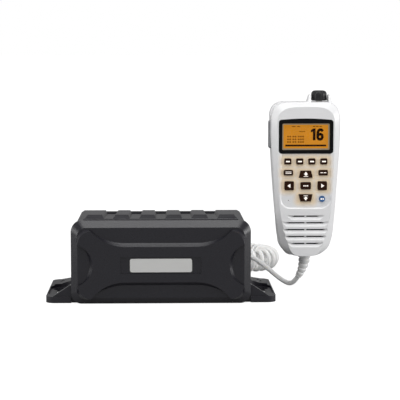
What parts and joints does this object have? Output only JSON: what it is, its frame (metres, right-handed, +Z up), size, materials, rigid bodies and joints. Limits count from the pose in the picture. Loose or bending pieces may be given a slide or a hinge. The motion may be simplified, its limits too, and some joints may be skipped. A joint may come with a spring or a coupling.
{
  "type": "marine vhf radio",
  "caption": "Black-box marine VHF transceiver with ribbed lid and mounting ears, and a white control handset with display and keys on a curly cord.",
  "frame": {"origin": "centre of the transceiver box's foot on the surface it stands on", "axes": "+X to the right of someone who faces the front, towards the handset; +Y to the rear; +Z up"},
  "size_m": [0.2902, 0.3059, 0.2017],
  "materials": {
    "cast_case": "satin powder coat",
    "cover_plastic": "satin moulded",
    "seal_rubber": "matt",
    "plate_metal": "brushed",
    "plated_metal": "nickel plated",
    "socket_plastic": "matt",
    "screw_steel": "satin",
    "circuit_board": "solder mask",
    "module_metal": "milled",
    "plug_plastic": "moulded",
    "cord_jacket": "satin",
    "white_plastic": "gloss",
    "frame_plastic": "gloss",
    "window_glass": "clear",
    "amber_display": "lit",
    "glow_rubber": "translucent",
    "speaker_cloth": "woven",
    "speaker_metal": "matt",
    "red_plastic": "gloss",
    "knob_rubber": "satin",
    "key_plastic": "satin",
    "blue_key": "satin"
  },
  "bodies": {
    "root": {"accessory_socket": "socket_plastic", "antenna_socket": "plated_metal", "board_screws": "screw_steel", "case_screws": "screw_steel", "cord_curls": "cord_jacket", "cord_lead_front": "cord_jacket", "cord_lead_rear": "cord_jacket", "cord_plug": "plug_plastic", "cover_seal": "seal_rubber", "display_frame": "frame_plastic", "display_window": "window_glass", "distress_pin": "screw_steel", "encoder": "plated_metal", "front_cover": "cover_plastic", "ground_terminal": "screw_steel", "handset_board": "circuit_board", "handset_front_shell": "white_plastic", "handset_rear_shell": "white_plastic", "handset_screws": "screw_steel", "handset_socket": "plated_metal", "hanger_stud": "screw_steel", "keypad_mat": "glow_rubber", "knob_guards": "white_plastic", "lcd_panel": "amber_display", "lower_case": "cast_case", "main_board": "circuit_board", "microphone": "plated_metal", "name_plate": "plate_metal", "panel_screws": "screw_steel", "power_inlet": "socket_plastic", "power_module": "module_metal", "ptt_switch": "socket_plastic", "rear_panel": "cast_case", "shell_seal": "seal_rubber", "shield_can": "plated_metal", "speaker": "speaker_metal", "speaker_mesh": "speaker_cloth", "strain_relief": "cord_jacket", "upper_case": "cast_case"},
    "soft_key_1": {"soft_key_1": "key_plastic"},
    "soft_key_2": {"soft_key_2": "key_plastic"},
    "soft_key_3": {"soft_key_3": "key_plastic"},
    "soft_key_4": {"soft_key_4": "key_plastic"},
    "side_key_left": {"side_key_left": "key_plastic"},
    "side_key_right": {"side_key_right": "key_plastic"},
    "up_key": {"up_key": "key_plastic"},
    "left_key": {"left_key": "key_plastic"},
    "centre_key": {"centre_key": "key_plastic"},
    "right_key": {"right_key": "key_plastic"},
    "down_key": {"down_key": "key_plastic"},
    "round_key": {"round_key": "blue_key"},
    "ptt_button": {"ptt_button": "knob_rubber"},
    "knob_shaft": {"knob_shaft": "plated_metal"},
    "selector_knob": {"selector_knob": "knob_rubber"},
    "distress_cover": {"distress_cover": "red_plastic"},
    "distress_button": {"distress_button": "red_plastic"},
    "plug_ring": {"plug_ring": "plug_plastic"}
  },
  "joints": [
    {"name": "soft_key_1_press", "type": "slide", "parent": "root", "child": "soft_key_1", "axis": [0, 1, 0], "range_m": [0, 0.0006], "stiffness_N_per_m": 900},
    {"name": "soft_key_2_press", "type": "slide", "parent": "root", "child": "soft_key_2", "axis": [0, 1, 0], "range_m": [0, 0.0006], "stiffness_N_per_m": 900},
    {"name": "soft_key_3_press", "type": "slide", "parent": "root", "child": "soft_key_3", "axis": [0, 1, 0], "range_m": [0, 0.0006], "stiffness_N_per_m": 900},
    {"name": "soft_key_4_press", "type": "slide", "parent": "root", "child": "soft_key_4", "axis": [0, 1, 0], "range_m": [0, 0.0006], "stiffness_N_per_m": 900},
    {"name": "side_key_left_press", "type": "slide", "parent": "root", "child": "side_key_left", "axis": [0, 1, 0], "range_m": [0, 0.0006], "stiffness_N_per_m": 900},
    {"name": "side_key_right_press", "type": "slide", "parent": "root", "child": "side_key_right", "axis": [0, 1, 0], "range_m": [0, 0.0006], "stiffness_N_per_m": 900},
    {"name": "up_key_press", "type": "slide", "parent": "root", "child": "up_key", "axis": [0, 1, 0], "range_m": [0, 0.0006], "stiffness_N_per_m": 900},
    {"name": "left_key_press", "type": "slide", "parent": "root", "child": "left_key", "axis": [0, 1, 0], "range_m": [0, 0.0006], "stiffness_N_per_m": 900},
    {"name": "centre_key_press", "type": "slide", "parent": "root", "child": "centre_key", "axis": [0, 1, 0], "range_m": [0, 0.0006], "stiffness_N_per_m": 900},
    {"name": "right_key_press", "type": "slide", "parent": "root", "child": "right_key", "axis": [0, 1, 0], "range_m": [0, 0.0006], "stiffness_N_per_m": 900},
    {"name": "down_key_press", "type": "slide", "parent": "root", "child": "down_key", "axis": [0, 1, 0], "range_m": [0, 0.0006], "stiffness_N_per_m": 900},
    {"name": "round_key_press", "type": "slide", "parent": "root", "child": "round_key", "axis": [0, 1, 0], "range_m": [0, 0.0006], "stiffness_N_per_m": 900},
    {"name": "ptt_press", "type": "slide", "parent": "root", "child": "ptt_button", "axis": [1, 0, 0], "range_m": [0, 0.0014], "stiffness_N_per_m": 1500},
    {"name": "knob_press", "type": "slide", "parent": "root", "child": "knob_shaft", "axis": [0, 0, -1], "range_m": [0, 0.0008], "stiffness_N_per_m": 2500, "springref_m": -0.0006},
    {"name": "knob_turn", "type": "hinge", "parent": "knob_shaft", "child": "selector_knob", "pos_m": [0.1588, 0.028, 0.1948], "axis": [0, 0, 1], "continuous": true},
    {"name": "distress_cover_lift", "type": "hinge", "parent": "root", "child": "distress_cover", "pos_m": [0.1445, 0.0483, 0.1208], "axis": [1, 0, 0], "range_deg": [0, 110], "stiffness_Nm_per_rad": 0.01},
    {"name": "distress_press", "type": "slide", "parent": "root", "child": "distress_button", "axis": [0, -1, 0], "range_m": [0, 0.0012], "stiffness_N_per_m": 1200},
    {"name": "plug_ring_turn", "type": "hinge", "parent": "root", "child": "plug_ring", "pos_m": [-0.042, 0.085, 0.038], "axis": [0, 1, 0], "continuous": true}
  ]
}
